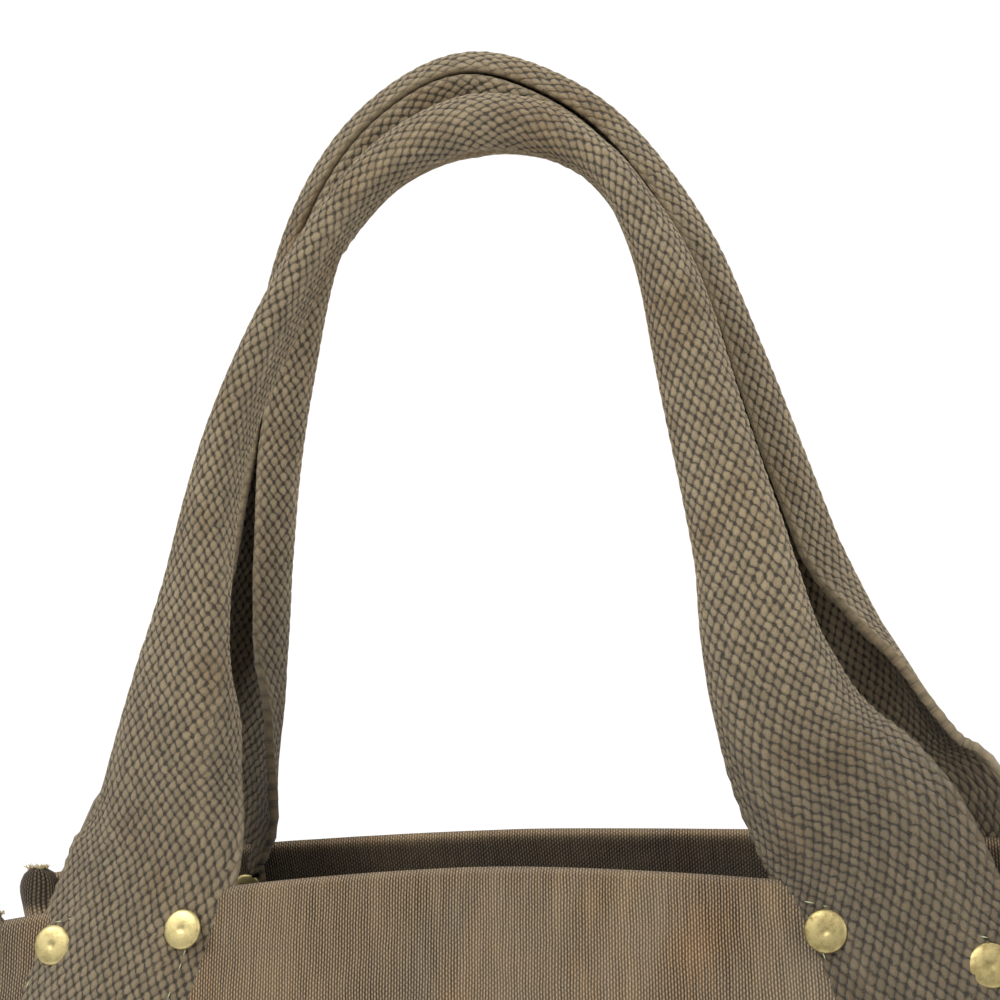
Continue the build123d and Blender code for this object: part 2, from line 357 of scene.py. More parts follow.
def canvas_finish(name, canvas, grey, rust, wear_and_inner_shade=1.0):
    """Washed duck canvas: fine dotted ribs, mottled fading, a paler worn hem, and painted shade on the hem where it
    is turned in towards the inside of the bag.
    """
    finish = Finish(name, Roughness=0.92, Sheen_Weight=0.1, Sheen_Roughness=0.6)
    finish.shader.inputs["Specular IOR Level"].default_value = 0.15
    place, across, along = finish.cloth_place()
    pitch = sizes().rib_pitch
    wander = finish.noise(place, 90.0, 2.0)
    ribs = (across + (wander - 0.5) * 0.0009) / pitch
    column = ribs.floor()
    beads = along / (pitch * 1.62) + 0.5 * (column % 2)
    rib = (ribs * (2 * pi) - pi / 2).sine() * 0.5 + 0.5
    bead = (beads * (2 * pi)).sine() * 0.5 + 0.5
    thread = rib * (0.35 + 0.65 * bead)
    yarn = finish.noise(finish.stretched(place, 1300.0, 60.0), 1.0, 2.0)
    blotch = finish.noise(place, 17.0, 4.0, 0.65).ramp(0.42, 0.66)
    streak = finish.noise(finish.stretched(place, 30.0, 14.0), 1.0, 3.0, 0.6).ramp(0.46, 0.74)
    grain = finish.noise(place, 2600.0, 1.0)
    # the last argument scales both the paler worn hem and the painted shade of the turned-in hem
    hem = wear_and_inner_shade * (1 - abs(along).ramp(0.0006, 0.0034))
    # painted shade: cloth past the hem's fold, turned in towards the inside of the bag, is made darker
    turned_in_shade = wear_and_inner_shade * along.ramp(0.001, 0.004)
    cloth = finish.mix(blotch * 0.7, finish.mix(streak * 0.7, canvas, rust), grey)
    crease = finish.noise(finish.stretched(place, 42.0, 15.0), 1.0, 3.0, 0.6).ramp(0.3, 0.7)
    light = thread * 2.45 + (yarn - 0.5) * 0.9 + (grain - 0.45) * 0.7 + hem * 0.16 + crease * 0.4 + 0.02
    light = light.most(0.02) * (1 - turned_in_shade * 0.6)
    shade = finish.add("ShaderNodeCombineXYZ", None, [light, light, light])
    finish.feed(Base_Color=finish.mix(1.0, cloth, shade, "MULTIPLY"))
    fine = finish.bump(thread + grain * 0.5, 0.00035, 1.0)
    finish.feed(Normal=finish.bump(finish.noise(place, 90.0, 3.0), 0.003, 0.5, fine))
    return finish.material


def tape_finish():
    """Cotton binding tape with a fine diagonal twill."""
    finish = Finish("binding_tape", Roughness=0.93, Sheen_Weight=0.1)
    finish.shader.inputs["Specular IOR Level"].default_value = 0.15
    shades = colours()
    place, across, along = finish.cloth_place()
    twill = ((across + along) * (2 * pi / 0.0011)).sine() * 0.5 + 0.5
    mottle = finish.noise(place, 60.0, 3.0, 0.6)
    grain = finish.noise(place, 2200.0, 1.0)
    light = 0.55 + twill * 0.25 + grain * 0.35 + mottle * 0.3
    shade = finish.add("ShaderNodeCombineXYZ", None, [light, light, light])
    cloth = finish.mix(mottle.ramp(0.45, 0.65), shades.canvas_grey, shades.canvas)
    finish.feed(Base_Color=finish.mix(1.0, cloth, shade, "MULTIPLY"))
    finish.feed(Normal=finish.bump(twill + grain, 0.0002, 0.7))
    return finish.material


def brass_finish():
    """Aged brass: cloudy tarnish, fine scratches and small dark pits; the rivets on the bag's right side are
    darker.
    """
    finish = Finish("aged_brass", Metallic=1.0)
    shades = colours()
    place = finish.add("ShaderNodeTexCoord", None, (), output=3)
    cloud = finish.noise(place, 420.0, 4.0, 0.6)
    pits = finish.noise(place, 2600.0, 2.0).ramp(0.62, 0.74)
    scratch = finish.noise(finish.stretched(place, 9000.0, 700.0), 1.0, 2.0)
    sideways = finish.add("ShaderNodeSeparateXYZ", None, [place])
    # the tarnish mix also darkens the rivets on the bag's right side, by their place across the bag
    tarnish = cloud.ramp(0.42, 0.7) * 0.45 + pits * 0.5 + sideways.ramp(-0.02, 0.08) * 0.4
    finish.feed(
        Base_Color=finish.mix(tarnish, shades.brass, shades.brass_dark),
        Roughness=0.34 + cloud * 0.22 + pits * 0.2,
        Normal=finish.bump(scratch + cloud, 0.00006, 0.5),
    )
    return finish.material


def thread_finish(name, shade):
    """Twisted cotton thread."""
    finish = Finish(name, Roughness=0.8)
    place = finish.add("ShaderNodeTexCoord", None, (), output=3)
    twist = finish.noise(place, 2500.0, 2.0)
    light = 0.75 + 0.5 * twist
    finish.feed(Base_Color=finish.mix(1.0, shade, finish.add("ShaderNodeCombineXYZ", None, [light, light, light]),
                                      "MULTIPLY"))
    finish.feed(Normal=finish.bump(twist, 0.0002, 0.6))
    return finish.material


def board_finish():
    """Grey fibre board with pale flecks."""
    finish = Finish("fibre_board", Roughness=0.85)
    place = finish.add("ShaderNodeTexCoord", None, (), output=3)
    fleck = finish.noise(place, 900.0, 3.0).ramp(0.55, 0.75)
    finish.feed(Base_Color=finish.mix(fleck, (0.05, 0.045, 0.04), (0.16, 0.15, 0.13)))
    finish.feed(Normal=finish.bump(fleck, 0.0002, 0.5))
    return finish.material


FINISHES = {}


def finish_named(name):
    """A material, made the first time that it is asked for."""
    shades = colours()
    makers = {
        "webbing": webbing_finish,
        "canvas": lambda: canvas_finish("canvas", shades.canvas, shades.canvas_grey, shades.canvas_rust),
        # painted shade: the walls' inner faces get a much darker canvas, to stand for the shade inside the bag
        "canvas_inside_painted_shade": lambda: canvas_finish("canvas_inside_painted_shade", (0.085, 0.066, 0.042), (0.07, 0.06, 0.045),
                                               (0.1, 0.066, 0.035), 0.0),
        # painted shade: the lining over the board gets a darker canvas, to stand for the shade at the bottom of the
        # bag
        "lining": lambda: canvas_finish("lining", (0.12, 0.1, 0.075), (0.09, 0.08, 0.065), (0.14, 0.1, 0.06), 0.0),
        "binding_tape": tape_finish,
        "brass_rivets": brass_finish,
        "thread": lambda: thread_finish("thread", shades.thread),
        "raw_cotton": lambda: thread_finish("raw_cotton", shades.raw_cotton),
        "stiffener": board_finish,
    }
    if name not in FINISHES:
        FINISHES[name] = makers[name]()
    return FINISHES[name]


# Shape helpers -----------------------------------------------------------------------------------
def ramp(value, start, end):
    """0 up to start, 1 from end, and smooth between them."""
    share = min(1.0, max(0.0, (value - start) / (end - start)))
    return share * share * (3 - 2 * share)


def wall_depth(height):
    """Distance of a wall's outer face from the middle of the bag."""
    above = height - SHOULDER
    return HALF_DEPTH - WALL_SLOPE * (above + hypot(above, 14 * MM)) / 2


def hem_height(wall, across):
    """Height of a wall's hem, which droops towards the corners."""
    return HEM + HEM_RISE[wall] - HEM_DROOP[wall] * (abs(across) / HALF_WIDTH) ** 1.7


def hem_slope(wall, across):
    """How steeply a wall's hem droops at a foot."""
    return HEM_DROOP[wall] * 1.7 * (abs(across) / HALF_WIDTH) ** 0.7 / HALF_WIDTH


def settle(point):
    """Where a point of the upright bag comes to rest: bellied walls and a little wandering."""
    wide, deep = point.x / HALF_WIDTH, point.y / HALF_DEPTH
    belly = sin(pi * min(1.0, max(0.0, point.z / (0.85 * HEM))))
    push = Vector((
        3.5 * MM * wide * abs(wide) * belly * cos(pi / 2 * min(1.0, abs(deep))),
        4.5 * MM * deep * belly * cos(pi / 2 * min(1.0, abs(wide))),
        0,
    ))
    wander = noise.noise_vector(point * 11) * (2.2 * MM) * ramp(point.z, 0, 60 * MM)
    calm = 1 - 0.6 * ramp(point.z, 0.75 * HEM, HEM)
    held = 1 - ramp(point.z, HEM - 4 * MM, HEM + 40 * MM)
    flop = ramp(-point.x, 95 * MM, 138 * MM) * ramp(point.y, 10 * MM, 26 * MM) * ramp(point.z, 0.4 * HEM, HEM)
    return point + (push + wander * calm) * held + Vector((-16.5, 2, -4.5)) * MM * flop


def join_piece(name, bm, finish, smooth=True):
    """Turns a bmesh into a piece with its finish in a material slot."""
    mesh = bpy.data.meshes.new(name)
    bm.to_mesh(mesh)
    bm.free()
    mesh.polygons.foreach_set("use_smooth", [smooth] * len(mesh.polygons))
    mesh.materials.append(finish_named(finish))
    piece = bpy.data.objects.new(name, mesh)
    bpy.context.scene.collection.objects.link(piece)
    return piece


def cloth_mesh(columns, rows, place, width, height, from_top=False, closed=False):
    """A grid laid out by place(u, v), with metres across and along as its map."""
    bm = bmesh.new()
    chart = bm.loops.layers.uv.new("Cloth")
    bmesh.ops.create_grid(bm, x_segments=columns, y_segments=rows, size=0.5)
    for face in bm.faces:
        for loop in face.loops:
            u, v = loop.vert.co.x, loop.vert.co.y + (-0.5 if from_top else 0.5)
            loop[chart].uv = (u * width, v * height)
    for vert in bm.verts:
        vert.co = place(vert.co.x + 0.5, vert.co.y + 0.5)
    if closed:
        bmesh.ops.remove_doubles(bm, verts=bm.verts, dist=0.01 * MM)
    return bm


def thicken(piece, thickness, offset=-1.0, inside=None):
    """Gives cloth its thickness, and another finish to its inner face where one is named."""
    if inside:
        piece.data.materials.append(finish_named(inside))
    shell = piece.modifiers.new("Thickness", "SOLIDIFY")
    shell.thickness = thickness
    shell.offset = offset
    shell.use_even_offset = False
    shell.material_offset = 1 if inside else 0
    return piece


# Walls, gussets and base -------------------------------------------------------------------------
def wall_point(side, across, height, out):
    """A point on a wall, seen from outside it: across, above the floor, and out from its face."""
    lean = LEAN * ramp(height, SHOULDER - 14 * MM, SHOULDER + 14 * MM)
    depth = wall_depth(height) + out * cos(lean)
    return Vector((-side * across, side * depth, height + out * sin(lean)))


def creases(side, across, height):
    """Soft upright creases in a wall, deeper under the handles."""
    fold = noise.noise(Vector((across * 42, height * 9, 3.7 * side)))
    fine = noise.noise(Vector((across * 95, height * 14, 9.1 * side)))
    held = ramp(height, 0, 40 * MM) * (1 - 0.75 * ramp(height, HEM - 26 * MM, HEM))
    edge = 1 - ramp(abs(across), HALF_WIDTH - 22 * MM, HALF_WIDTH - 4 * MM)
    return (fold + 0.35 * fine) * sizes().crease_depth * held * edge


def make_wall(wall):
    """A front or back wall with its hem turned in."""
    side = WALLS[wall]
    radius, turn = sizes().hem_round, sizes().hem_turn
    floor = CANVAS
    length_up = HEM - floor
    whole = length_up + pi * radius + turn

    def place(u, v):
        across = (2 * u - 1) * (HALF_WIDTH - 0.4 * MM)
        top = hem_height(wall, across) - radius
        run = v * whole
        if run < length_up:
            height, out = floor + (top - floor) * run / length_up, 0.0
        elif run < length_up + pi * radius:
            angle = (run - length_up) / radius
            height, out = top + radius * sin(angle), radius * (cos(angle) - 1)
        else:
            height, out = top - (run - length_up - pi * radius), -2 * radius
        return settle(wall_point(side, across, height, out + creases(side, across, height)))

    columns, rows = 120, 118
    piece = join_piece(
        f"{wall}_wall", cloth_mesh(columns, rows, place, 2 * HALF_WIDTH, whole, from_top=True), "canvas"
    )
    chart = piece.data.uv_layers["Cloth"].data
    for entry in chart:
        entry.uv.y += turn + pi * radius / 2
    thicken(piece, CANVAS, inside="canvas_inside_painted_shade")
    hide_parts(f"{wall}_panel")
    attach(piece, "bag")
    return piece


def v_share(share):
    """0 at the front corner of a side wall and 1 at its back corner."""
    return (share + 1) / 2


def make_gusset(name):
    """A side wall, flat below and folded in along its middle towards the mouth."""
    side = SIDES[name]
    floor = CANVAS

    def place(u, v):
        share = 2 * u - 1
        ends = [hem_height(wall, HALF_WIDTH) for wall in WALLS]
        top = ends[0] + (ends[1] - ends[0]) * v_share(share) - 12 * MM * ramp(1 - abs(share), -0.08, 0.1)
        height = floor + (top - floor) * v
        rise = max(0.0, (height - SHOULDER) / (CORNER - SHOULDER))
        fold = (GUSSET_FOLD - CANVAS) * rise * (1 - hypot(share, 0.12)) / 0.88
        bulge = 0.12 * fold * sin(pi * share) ** 2
        wave = 1.2 * MM * noise.noise(Vector((share * 2.1, height * 14, 5.0 * side))) * (1 - share**4)
        depth = share * (wall_depth(height) - CANVAS)
        return settle(Vector((side * (HALF_WIDTH - max(0.0, fold) + bulge + wave), side * depth, height)))

    piece = join_piece(
        f"{name}_side", cloth_mesh(64, 110, place, 2 * HALF_DEPTH, CORNER - floor, from_top=True), "canvas"
    )
    thicken(piece, CANVAS, inside="canvas_inside_painted_shade")
    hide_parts(f"{name}_gusset")
    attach(piece, "bag")
    return piece


def make_base_sheet(name, node, level, inset, finish):
    """The canvas of the base, or the lining over the board."""

    def place(u, v):
        across = (2 * u - 1) * (HALF_WIDTH - inset)
        depth = (2 * v - 1) * (HALF_DEPTH - inset)
        ease = (1 - (2 * u - 1) ** 8) * (1 - (2 * v - 1) ** 8)
        lift = 0.5 * MM * abs(noise.noise(Vector((across * 25, depth * 25, level * 900)))) * ease
        return Vector((across, depth, level + lift))

    piece = join_piece(
        name, cloth_mesh(60, 30, place, 2 * (HALF_WIDTH - inset), 2 * (HALF_DEPTH - inset)), finish
    )
    thicken(piece, CANVAS)
    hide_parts(node)
    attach(piece, "bag")
    return piece


def make_base_binding():
    """Tape sewn round the edge of the base."""
    low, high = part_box("base_binding")
    round_corner = 4 * MM
    half_x, half_y = HALF_WIDTH + 0.6 * MM, HALF_DEPTH + 0.6 * MM
    sides = [2 * (half_x - round_corner), 2 * (half_y - round_corner)]
    perimeter = 2 * sum(sides) + 2 * pi * round_corner

    def edge_point(run):
        """A point and its outward direction, along a rounded rectangle."""
        for quarter in range(4):
            straight = sides[quarter % 2]
            turn = quarter * pi / 2
            corner_x = (half_x - round_corner) * (1 if quarter in (0, 1) else -1)
            corner_y = (half_y - round_corner) * (1 if quarter in (1, 2) else -1)
            if run < straight:
                along = Vector((cos(turn), sin(turn), 0))
                out = Vector((sin(turn), -cos(turn), 0))
                corner = Vector((corner_x, corner_y, 0))
                return corner + out * round_corner - along * (straight - run), out
            run -= straight
            if run < round_corner * pi / 2:
                angle = turn - pi / 2 + run / round_corner
                out = Vector((cos(angle), sin(angle), 0))
                return Vector((corner_x, corner_y, 0)) + out * round_corner, out
            run -= round_corner * pi / 2
        return edge_point(0.0)

    def place(u, v):
        spot, out = edge_point(u * perimeter * 0.99999)
        rounded = 1.3 * MM * (1 - (2 * v - 1) ** 6)
        level = (low[2] + high[2]) / 2 - (high[2] - low[2]) / 2 * cos(pi * v)
        return spot + out * rounded + Vector((0, 0, level))

    piece = join_piece(
        "base_edge_tape", cloth_mesh(300, 12, place, perimeter, 10.5 * MM, closed=True),
        "binding_tape",
    )
    thicken(piece, 1.0 * MM)
    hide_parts("base_binding")
    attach(piece, "bag")
    return piece


def make_corner_seam(wall, name):
    """A bound corner seam: tape rolled round the raw edges, with a frayed end above the hem."""
    y_side, x_side = WALLS[wall], SIDES[name]
    low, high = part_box(f"{wall}_{name}_corner_binding")
    start, top = low[2] + 8 * MM, hem_height(wall, HALF_WIDTH) + 1.5 * MM
    half_wide, half_thick = (5.5 * MM, 2.6 * MM) if wall == "front" else (6.4 * MM, 3.6 * MM)

    def place(u, v):
        angle = -2 * pi * u * x_side * y_side
        height = start + (top - start) * v
        end = (1 - 0.86 * max(0.0, (height - top) / (7 * MM) + 1) ** 2) ** 0.5
        a, b = cos(angle), sin(angle)
        across = half_wide * abs(a) ** 0.6 * (1 if a > 0 else -1) * end
        through = half_thick * abs(b) ** 0.8 * (1 if b > 0 else -1) * end
        wave = 0.7 * MM * noise.noise(Vector((height * 60, x_side * 7, y_side * 5)))
        x = x_side * (HALF_WIDTH + 2.6 * MM + across + wave)
        y = y_side * (wall_depth(height) - 1.2 * MM + through)
        return settle(Vector((x, y, height)))

    bm = cloth_mesh(24, 140, place, 2 * (2 * half_wide + half_thick), top - start, from_top=True, closed=True)
    for level in (start, top):
        ring = [e for e in bm.edges if e.is_boundary and abs(e.verts[0].co.z - level) < 4 * MM]
        bmesh.ops.holes_fill(bm, edges=ring, sides=0)
    bmesh.ops.recalc_face_normals(bm, faces=bm.faces)
    piece = join_piece(f"{wall}_{name}_seam", bm, "canvas")
    # painted shade: the back seams' map is moved up 14 mm, so that their top takes the canvas's darker shade of a
    # turned-in hem
    if wall == "back":
        for entry in piece.data.uv_layers["Cloth"].data:
            entry.uv.y += 14 * MM
    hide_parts(f"{wall}_{name}_corner_binding")
    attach(piece, "bag")
    return piece


# Pockets -----------------------------------------------------------------------------------------
POCKETS = {
    "front": ("wall", -1, 256 * MM, 3),
    "back": ("wall", 1, 256 * MM, 3),
    "left": ("side", -1, 90 * MM, 1),
    "right": ("side", 1, 90 * MM, 1),
}
POCKET_LAND = 3 * MM
POCKET_PLEAT = 10 * MM


def pocket_out(span, bays, across):
    """How far a pocket's cloth stands off at its mouth: rounded bays between sewn-down strips."""
    pitch = span / bays
    inside = (across + span / 2) % pitch
    edge = min(inside, pitch - inside)
    return ramp(edge, POCKET_LAND, POCKET_LAND + POCKET_PLEAT)


def pocket_point(name, across, height, out):
    """A point off the wall that carries a pocket, seen from outside it."""
    kind, side = POCKETS[name][:2]
    if kind == "wall":
        return settle(Vector((-side * across, side * (HALF_DEPTH + out), height)))
    return settle(Vector((side * (HALF_WIDTH + out), side * across, height)))


def pocket_bow(name, across, height):
    """How far a pocket's outer face stands off its wall."""
    kind, side, span, bays = POCKETS[name]
    share = (height - POCKET_LOW) / (POCKET_TOP - POCKET_LOW)
    full = POCKET_GAPE - 2.0 * MM
    rise = 0.35 + 0.65 * ramp(share, 0.0, 0.16)
    slack = noise.noise(Vector((across * 30, height * 22, side * 3 + len(name)))) * 1.6 * MM
    lip = 1 - 0.12 * ramp(share, 0.7, 1.0) * (0.5 + noise.noise(Vector((across * 14, 1, len(name)))))
    bay = pocket_out(span, bays, across)
    return 1.5 * MM + bay * (full * rise * lip + slack)


def make_pocket(name):
    """A strip of tool pockets, sewn down between its bays and along its bottom."""
    kind, side, span, bays = POCKETS[name]

    def place(u, v):
        across = (u - 0.5) * span
        height = POCKET_LOW + (POCKET_TOP - POCKET_LOW) * v
        out = pocket_bow(name, across, height)
        return pocket_point(name, across, height, out * ramp(v, -0.25, 0.05))

    piece = join_piece(
        f"{name}_tool_pocket", cloth_mesh(round(span / (2 * MM)), 56, place, span, POCKET_TOP - POCKET_LOW,
                                          from_top=True), "canvas"
    )
    thicken(piece, CANVAS)
    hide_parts(f"{name}_pocket")
    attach(piece, "bag")
    return piece


def make_pocket_tape(name):
    """Tape folded over a pocket's top edge."""
    kind, side, span, bays = POCKETS[name]
    outside, inside, radius = 10 * MM, 8 * MM, 1.4 * MM
    whole = outside + pi * radius + inside

    def place(u, v):
        across = (u - 0.5) * span
        run = v * whole
        if run < outside:
            height, off = POCKET_TOP - outside + run, 0.8 * MM
        elif run < outside + pi * radius:
            angle = (run - outside) / radius
            height, off = POCKET_TOP + radius * 0.7 * sin(angle), 0.8 * MM + radius * (cos(angle) - 1)
        else:
            height, off = POCKET_TOP - (run - outside - pi * radius), 0.8 * MM - 2 * radius
        low_edge = min(height, POCKET_TOP)
        out = pocket_bow(name, across, low_edge) + off
        return pocket_point(name, across, height, max(out, 0.4 * MM))

    piece = join_piece(
        f"{name}_pocket_tape", cloth_mesh(round(span / (2 * MM)), 16, place, span, whole),
        "binding_tape",
    )
    thicken(piece, 0.6 * MM)
    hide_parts(f"{name}_pocket_binding")
    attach(piece, "bag")
    return piece


# Handles -----------------------------------------------------------------------------------------
# Middle of the webbing, seen from outside each wall: across, and up from the hinge line, in mm
LOOP_ROUTE = {
    "front": [(-91, 0), (-88, 21), (-83, 42), (-77, 70), (-71.5, 96), (-65, 115), (-55.5, 134), (-45, 151),
              (-35, 164), (-21, 177.5), (-1, 185), (19, 182.5), (35, 171.5), (44, 158), (51, 140), (57, 110),
              (61, 91), (65.5, 69), (68.5, 47), (75.8, 24), (91, 0)],
    "back": [(-103, 0), (-96.5, 10), (-90, 27), (-82, 48), (-75, 71), (-67.8, 98), (-58.2, 131), (-50, 154),
             (-32, 182), (-10.5, 197.5), (8, 201), (32.5, 188), (51, 162.5), (63.8, 124), (70.5, 100),
             (75, 78), (80.3, 52), (85.4, 32), (94, 9), (103, 0)],
}
# From each foot's hinge line to the middle of a loop, in mm and degrees: run of webbing, width
# that it is rolled up to, and where its selvages meet (-90 at the inner face, 0 under the arch)
ROLL = {
    "front": (
        [(0, 50, -90), (21, 38.5, -90), (42, 28.5, -88), (58, 22, -84), (72, 18, -78), (98, 13, -68),
         (118, 10.3, -60), (140, 8.8, -52), (160, 8.8, -45), (175, 9.8, -34), (195, 12.5, -15), (220, 16, 12)],
        [(2, 50, -90), (14, 46.5, -90), (25, 40.5, -90), (38, 34.5, -90), (53, 29, -90), (75, 23.5, -90),
         (97, 20.5, -90), (116, 18.5, -90), (133, 17, -88), (148, 14.5, -75), (170, 10, -50),
         (185, 10, -25), (203, 14, 0), (220, 16, 12)],
    ),
    "back": (
        [(1, 50, -86), (14, 42.5, -80), (30, 35, -72), (50, 28, -68), (74, 23, -70), (102, 21, -80),
         (136, 19, -100), (160, 18, -103), (236, 17, -106)],
        [(2, 50, -90), (15, 44.5, -90), (36, 31.5, -90), (55, 25.5, -90), (80, 22, -92), (104, 20.5, -95),
         (128, 18.5, -100), (168, 17, -103), (236, 17, -106)],
    ),
}


class Route:
    """The middle line of one handle's webbing, from foot to foot, in its wall's slope."""

    def __init__(self, wall):
        ends = [(FOOT_MIDDLE[wall] / MM + drop * FOOT_SPLAY[wall], -drop) for drop in (84, 56, 28)]
        points = [Vector(p) * MM for p in [(-x, y) for x, y in ends] + LOOP_ROUTE[wall] + ends[::-1]]
        samples = [self.spline(points, i, step / 12) for i in range(1, len(points) - 2) for step in range(12)]
        self.lay_out(samples + [points[-2]])
        self.lay_out([self.at(self.length * i / 300)[0] for i in range(301)])
        for _ in range(10):
            inner = zip(self.samples, self.samples[1:], self.samples[2:])
            self.lay_out([self.samples[0], *[(a + 2 * b + c) / 4 for a, b, c in inner], self.samples[-1]])
        levels = [i for i, p in enumerate(self.samples) if p.y >= 0]
        self.first, self.last = self.runs[levels[0]], self.runs[levels[-1]]

    def lay_out(self, samples):
        """Keeps the line's points and the run of webbing to each."""
        self.samples = samples
        self.runs = [0.0]
        for a, b in zip(samples, samples[1:]):
            self.runs.append(self.runs[-1] + (b - a).length)
        self.length = self.runs[-1]

    @staticmethod
    def spline(points, i, t):
        """A point of the smooth curve between two route points."""
        p0, p1, p2, p3 = points[i - 1:i + 3]
        return 0.5 * (2 * p1 + (p2 - p0) * t + (2 * p0 - 5 * p1 + 4 * p2 - p3) * t * t
                      + (3 * p1 - p0 - 3 * p2 + p3) * t**3)

    def at(self, run):
        """Point and direction after a run of webbing."""
        run = min(max(run, 0.0), self.length)
        low, high = 0, len(self.runs) - 1
        while high - low > 1:
            middle = (low + high) // 2
            low, high = (middle, high) if self.runs[middle] <= run else (low, middle)
        share = (run - self.runs[low]) / (self.runs[high] - self.runs[low])
        before, after = self.samples[max(low - 1, 0)], self.samples[min(high + 1, len(self.samples) - 1)]
        return self.samples[low].lerp(self.samples[high], share), (after - before).normalized()


def roll_at(wall, run, length):
    """Width that the webbing is rolled up to after a run of loop, and where its selvages meet."""
    second = run > length / 2
    table = ROLL[wall][second]
    run = min(max((length - run if second else run) / MM, table[0][0]), table[-1][0])
    for first, last in zip(table, table[1:]):
        if run <= last[0]:
            mix = (run - first[0]) / (last[0] - first[0])
            return [a + (b - a) * mix for a, b in zip(first[1:], last[1:])]


def curve(steps, rolled, scale, flatness, slit):
    """The webbing's cross-section, from selvage to selvage: points across and out."""
    spot = Vector((0.0, 0.0))
    points = [spot.copy()]
    stride = sizes().webbing_width / steps * scale
    for i in range(steps):
        share = 2 * (i + 0.5) / steps - 1
        closed = 90 + slit - 180 * share - flatness * sin(radians(2 * (180 * share - slit)))
        angle = radians(rolled * closed)
        spot = spot + Vector((cos(angle), sin(angle))) * stride
        points.append(spot.copy())
    return points


def section(steps, width, slit):
    """The cross-section rolled up until it is as wide as asked, about its middle."""
    scale = min(1.0, max(0.72, 0.72 + (width - 12) * 0.0225))
    goal = (width - sizes().webbing_thickness / MM) * MM
    low, high = 0.0, 2.0
    for _ in range(12):
        tight = (low + high) / 2
        points = curve(steps, min(0.97, tight), scale, 20 - 50 * max(0.0, tight - 1), slit)
        across = [p.x for p in points]
        low, high = (tight, high) if max(across) - min(across) > goal else (low, tight)
    middle = Vector(((max(across) + min(across)) / 2, sum(p.y for p in points) / len(points)))
    return [p - middle for p in points]


def leaned(up):
    """Distance in from the hinge line and height over it, up the webbing's slope."""
    inward, height = 0.0, 0.0
    steps = 24
    for i in range(steps):
        at = up * (i + 0.5) / steps
        lean = LEAN + (HANDLE_LEAN - LEAN) * ramp(at, -2 * MM, 26 * MM)
        inward += sin(lean) * up / steps
        height += cos(lean) * up / steps
    return inward, height, LEAN + (HANDLE_LEAN - LEAN) * ramp(up, -2 * MM, 26 * MM)


def handle_point(wall, across, up, out):
    """A point near a handle, seen from outside its wall: across, up from the hinge line, and out."""
    side = WALLS[wall]
    inward, height, lean = leaned(up)
    middle = HINGE_Y - 0.5 * sizes().webbing_thickness
    y = side * (middle - inward + out * cos(lean))
    z = HINGE_Z + height + out * sin(lean)
    return settle(Vector((-side * across, y, z)))


def make_handle(wall):
    """One length of webbing: flat on the wall at both feet, rolled up into a grip at the top."""
    route = Route(wall)
    columns = webbing_columns()
    rows = round(route.length / sizes().lump_along)
    sections = {}
    thick = sizes().webbing_thickness

    def place(u, v):
        row, column = round(v * rows), round(u * columns)
        run = route.length * row / rows
        if row not in sections:
            sections[row] = section(columns, *roll_at(wall, run - route.first, route.last - route.first))
        spot, heading = route.at(run)
        a, b = sections[row][column]
        inner = Vector((heading.y, -heading.x))
        lump = sizes().lump_height * (1 if (row + column) % 2 else -1)
        tangent = (sections[row][min(column + 1, columns)] - sections[row][max(column - 1, 0)]).normalized()
        a, b = a - tangent.y * lump, b + tangent.x * lump
        return handle_point(wall, spot.x + inner.x * a, spot.y + inner.y * a, b)

    bm = cloth_mesh(columns, rows, place, sizes().webbing_width, rows * sizes().lump_along)
    side = WALLS[wall]
    for lateral in (-1, 1):
        across = FOOT_MIDDLE[wall] + FOOT_DROP * FOOT_SPLAY[wall]
        slope = hem_slope(wall, across) + ASKEW.get((wall, lateral), (0, 0))[1]
        cut = Vector((-side * lateral * across, 0, HINGE_Z - FOOT_DROP * cos(LEAN)))
        away = Vector((side * lateral * slope, 0, -1)).normalized()
        half = [f for f in bm.faces if f.calc_center_median().x * cut.x > 0]
        parts = {e for f in half for e in f.edges} | {v for f in half for v in f.verts}
        bmesh.ops.bisect_plane(
            bm, geom=half + list(parts), dist=0.01 * MM, plane_co=cut, plane_no=away, clear_outer=True
        )
    piece = join_piece(f"{wall}_webbing", bm, "webbing")
    thicken(piece, thick, 0.0)
    names = [f"{wall}_handle_left_foot", f"{wall}_handle_right_foot", f"{wall}_handle_loop"]
    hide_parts(*names)
    side * HINGE_Y
    HINGE_Z - 1 * MM
    side * HINGE_Y
    HINGE_Z + 30 * MM
    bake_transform(piece)
    return piece


# Rivets and stitches -----------------------------------------------------------------------------
# Half profiles of the caps: distance from the axis and height, in mm
OUTER_CAP = [(0, -0.6), (4.3, -0.6), (4.9, -0.2), (5.0, 0.12), (4.9, 0.45), (4.6, 0.7), (4.1, 0.84), (3.2, 0.97),
             (2.2, 1.04), (1.3, 1.05), (0.8, 1.0), (0.45, 0.9), (0, 0.86)]
INNER_CAP = [(0, -0.2), (4.0, -0.2), (4.6, 0.0), (4.75, 0.25), (4.55, 0.6), (4.0, 0.85), (2.6, 1.02), (1.3, 1.05),
             (0.8, 0.9), (0, 0.85)]


def rivet_places(wall):
    """Across and up from the hinge line, of the four rivets of a wall."""
    across = FOOT_MIDDLE[wall] + RIVET_DROP * FOOT_SPLAY[wall]
    places = []
    for lateral in (-1, 1):
        lower, steeper = ASKEW.get((wall, lateral), (0, 0))
        slope = 2 * (HEM - CORNER) * across / HALF_WIDTH**2 + steeper
        for step in (-RIVET_STEP, RIVET_STEP):
            places.append((lateral * (across + step), -RIVET_DROP - lower - slope * step))
    return places


